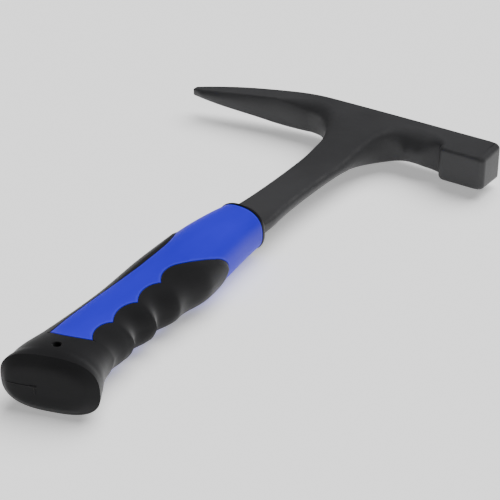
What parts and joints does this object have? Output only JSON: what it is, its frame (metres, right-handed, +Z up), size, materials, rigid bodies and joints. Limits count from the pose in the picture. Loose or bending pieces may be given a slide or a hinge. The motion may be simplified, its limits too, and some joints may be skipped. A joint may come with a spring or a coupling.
{
  "type": "rock hammer",
  "caption": "One-piece forged rock hammer with a tapered pick, a square striking block and a moulded finger grip, lying on its side.",
  "frame": {"origin": "middle of the part's box in X and Y, on the surface that the hammer lies on", "axes": "+Y from the butt to the head, +X towards the striking face, +Z up through the thickness of the head"},
  "size_m": [0.1886, 0.294, 0.03],
  "materials": {
    "coated_steel": "satin black coating on forged steel",
    "core_plastic": "hard black plastic",
    "sleeve_plastic": "satin blue plastic",
    "soft_rubber": "matte soft-touch black rubber"
  },
  "bodies": {
    "root": {"forged_hammer": "coated_steel", "grip_core": "core_plastic", "grip_sleeve": "sleeve_plastic", "soft_overmould": "soft_rubber"}
  },
  "joints": []
}
